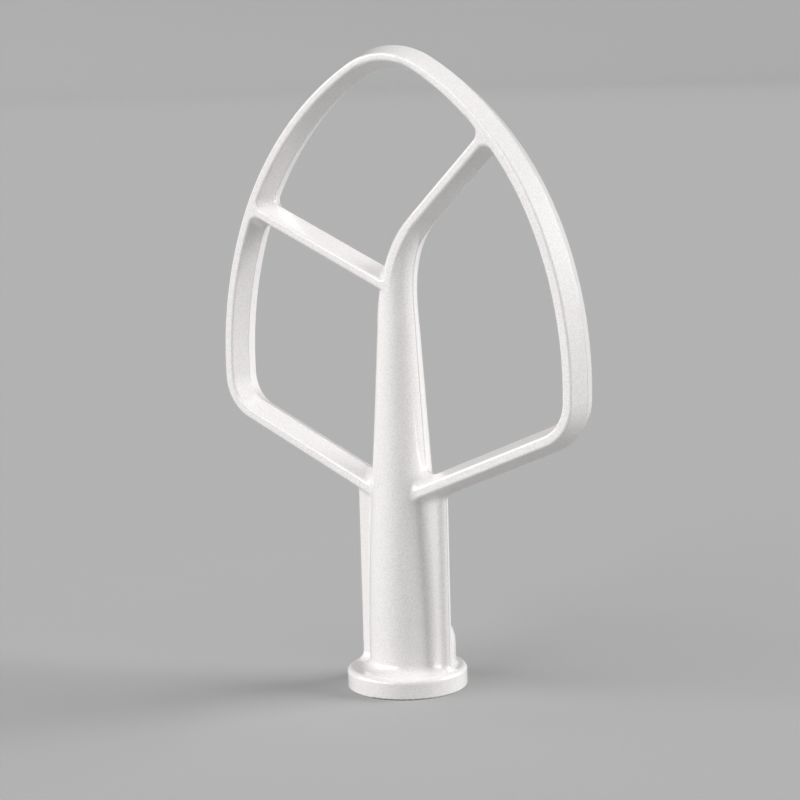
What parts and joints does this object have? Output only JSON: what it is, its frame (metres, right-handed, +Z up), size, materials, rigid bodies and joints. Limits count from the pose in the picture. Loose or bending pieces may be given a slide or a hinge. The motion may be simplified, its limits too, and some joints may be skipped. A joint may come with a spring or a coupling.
{
  "type": "stand mixer flat beater",
  "caption": "One-piece cast flat beater: a leaf-shaped frame with slanting inner bars on a tapered stem, with a finned collar and a bayonet socket for a stand mixer's shaft.",
  "frame": {"origin": "centre of the collar's underside, on the axis of the shaft socket", "axes": "+Z up the stem towards the top of the frame, X across the frame with the bent bar on the +X side, +Y towards the back, where the pin slot opens"},
  "size_m": [0.1382, 0.038, 0.2004],
  "materials": {
    "white_coat": "glossy white coat with a fine grain"
  },
  "bodies": {
    "root": {"flat_beater": "white_coat"}
  },
  "joints": []
}
